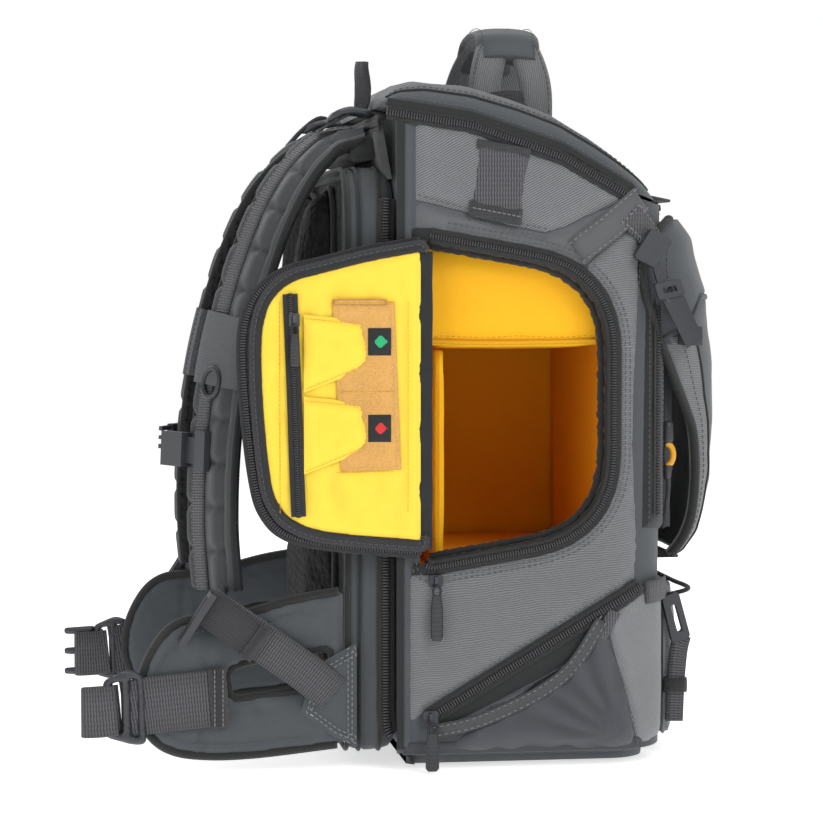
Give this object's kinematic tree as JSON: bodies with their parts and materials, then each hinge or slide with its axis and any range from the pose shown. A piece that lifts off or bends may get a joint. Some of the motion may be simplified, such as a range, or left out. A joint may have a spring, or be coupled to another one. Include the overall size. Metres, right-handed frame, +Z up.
{
  "type": "camera backpack",
  "caption": "Padded camera backpack with a side door that folds open, hinged lid, fold-down front flap, shoulder straps and hip belt.",
  "frame": {"origin": "middle of the flat underside, on the floor the bag stands on", "axes": "+X out of the bag's front away from the wearer, +Y to the wearer's right, +Z up"},
  "size_m": [0.5028, 0.3498, 0.558],
  "materials": {
    "twill_grey": "fine twill polyester",
    "slate_cloth": "smooth woven nylon over foam",
    "black_cloth": "coated woven nylon and spacer mesh",
    "yellow_lining": "brushed tricot over foam",
    "webbing": "ribbed polyester webbing",
    "zip_tape": "coil zip on woven tape",
    "buckle_plastic": "moulded acetal",
    "slider_metal": "black enamelled die-cast zinc"
  },
  "bodies": {
    "bag": {"base_panel": "black_cloth", "bottom_zip": "zip_tape", "bungee_cord": "webbing", "bungee_hook": "buckle_plastic", "camera_liner": "yellow_lining", "cell_divider": "yellow_lining", "door_opening_zip": "zip_tape", "flap_buckle_sockets": "buckle_plastic", "frame_sheet": "buckle_plastic", "front_pocket": "black_cloth", "harness_pads": "black_cloth", "ladder_lock_left": "buckle_plastic", "ladder_lock_right": "buckle_plastic", "laptop_case": "slate_cloth", "laptop_zip": "zip_tape", "load_lifters": "buckle_plastic", "lower_buckles": "buckle_plastic", "lower_front_pocket": "slate_cloth", "lower_straps": "webbing", "main_shell": "twill_grey", "shoulder_strap_left": "slate_cloth", "shoulder_strap_right": "slate_cloth", "side_pocket_left": "slate_cloth", "side_pocket_right": "twill_grey", "side_webbing": "webbing", "stabiliser_strap_left": "webbing", "stabiliser_strap_right": "webbing", "top_zip": "zip_tape", "upper_divider": "yellow_lining", "upper_straps": "webbing"},
    "door": {"door_panel": "twill_grey", "door_lining": "yellow_lining", "door_zip": "zip_tape", "door_card_pockets": "yellow_lining", "pocket_zip": "zip_tape"},
    "pocket_slider": {"pocket_zip_slider": "slider_metal"},
    "pocket_pull": {"pocket_zip_pull": "webbing"},
    "door_slider": {"door_zip_slider": "slider_metal"},
    "door_pull": {"door_zip_pull": "webbing"},
    "bottom_slider": {"bottom_zip_slider": "slider_metal"},
    "bottom_pull": {"bottom_zip_pull": "webbing"},
    "laptop_slider": {"laptop_zip_slider": "slider_metal"},
    "lid": {"lid_shell": "twill_grey", "lid_zip": "zip_tape", "carry_handle": "slate_cloth"},
    "lid_slider": {"lid_zip_slider": "slider_metal"},
    "lid_pull": {"lid_zip_pull": "webbing"},
    "front_slider": {"front_zip_slider": "slider_metal"},
    "front_pull": {"front_zip_pull": "webbing"},
    "flap": {"front_flap": "slate_cloth", "flap_buckle_plugs": "buckle_plastic"},
    "wing_left": {"hip_wing_left": "slate_cloth", "waist_socket": "buckle_plastic"},
    "wing_right": {"hip_wing_right": "slate_cloth", "waist_plug": "buckle_plastic"},
    "chest_left": {"chest_socket": "buckle_plastic"},
    "chest_right": {"chest_plug": "buckle_plastic"},
    "ring_left": {"strap_ring_left": "buckle_plastic"},
    "ring_right": {"strap_ring_right": "buckle_plastic"}
  },
  "joints": [
    {"name": "door_hinge", "type": "hinge", "parent": "bag", "child": "door", "pos_m": [-0.061, -0.1585, 0.27], "axis": [0, 0, 1], "range_deg": [0, 178]},
    {"name": "pocket_zip_slide", "type": "slide", "parent": "door", "child": "pocket_slider", "axis": [0.0122, 0, -0.9999], "range_m": [-0.008, 0.125]},
    {"name": "pocket_pull_swing", "type": "hinge", "parent": "pocket_slider", "child": "pocket_pull", "pos_m": [-0.158, -0.177, 0.336], "axis": [-1, 0, 0], "range_deg": [0, 80]},
    {"name": "door_zip_slide", "type": "slide", "parent": "bag", "child": "door_slider", "axis": [0.9849, 0, 0.1734], "range_m": [0, 0.06]},
    {"name": "door_pull_swing", "type": "hinge", "parent": "door_slider", "child": "door_pull", "pos_m": [-0.052, -0.1666, 0.142], "axis": [-1, 0, 0], "range_deg": [0, 80]},
    {"name": "bottom_zip_slide", "type": "slide", "parent": "bag", "child": "bottom_slider", "axis": [0.8599, 0, 0.5105], "range_m": [0, 0.17]},
    {"name": "bottom_pull_swing", "type": "hinge", "parent": "bottom_slider", "child": "bottom_pull", "pos_m": [-0.056, -0.171, 0.04], "axis": [-1, 0, 0], "range_deg": [0, 80]},
    {"name": "laptop_zip_slide", "type": "slide", "parent": "bag", "child": "laptop_slider", "axis": [0, 0, -1], "range_m": [-0.005, 0.19]},
    {"name": "lid_hinge", "type": "hinge", "parent": "bag", "child": "lid", "pos_m": [0.1202, 0, 0.431], "axis": [0, 1, 0], "range_deg": [0, 100]},
    {"name": "lid_zip_slide", "type": "slide", "parent": "lid", "child": "lid_slider", "axis": [0, 1, 0], "range_m": [-0.07, 0.01]},
    {"name": "lid_pull_swing", "type": "hinge", "parent": "lid_slider", "child": "lid_pull", "pos_m": [-0.0985, 0.03, 0.483], "axis": [0, 1, 0], "range_deg": [0, 80]},
    {"name": "front_zip_slide", "type": "slide", "parent": "bag", "child": "front_slider", "axis": [0, 1, 0], "range_m": [-0.03, 0.11]},
    {"name": "front_pull_swing", "type": "hinge", "parent": "front_slider", "child": "front_pull", "pos_m": [0.1361, -0.06, 0.4228], "axis": [0, -1, 0], "range_deg": [0, 80]},
    {"name": "flap_hinge", "type": "hinge", "parent": "bag", "child": "flap", "pos_m": [0.144, 0, 0.15], "axis": [0, 1, 0], "range_deg": [0, 80]},
    {"name": "wing_left_hinge", "type": "hinge", "parent": "bag", "child": "wing_left", "pos_m": [-0.1192, -0.14, 0.07], "axis": [0, 0, -1], "range_deg": [0, 30]},
    {"name": "wing_right_hinge", "type": "hinge", "parent": "bag", "child": "wing_right", "pos_m": [-0.1192, 0.14, 0.07], "axis": [0, 0, 1], "range_deg": [0, 30]},
    {"name": "chest_left_slide", "type": "slide", "parent": "bag", "child": "chest_left", "axis": [0.0427, 0.0227, 0.9988], "range_m": [-0.012, 0.02]},
    {"name": "chest_right_slide", "type": "slide", "parent": "bag", "child": "chest_right", "axis": [0.0427, -0.0227, 0.9988], "range_m": [-0.012, 0.02]},
    {"name": "ring_left_swing", "type": "hinge", "parent": "bag", "child": "ring_left", "pos_m": [-0.21239, -0.10446, 0.30051], "axis": [-0.4695, 0.8829, 0], "range_deg": [0, 80]},
    {"name": "ring_right_swing", "type": "hinge", "parent": "bag", "child": "ring_right", "pos_m": [-0.21239, 0.10446, 0.30051], "axis": [0.4695, 0.8829, 0], "range_deg": [0, 80]}
  ]
}
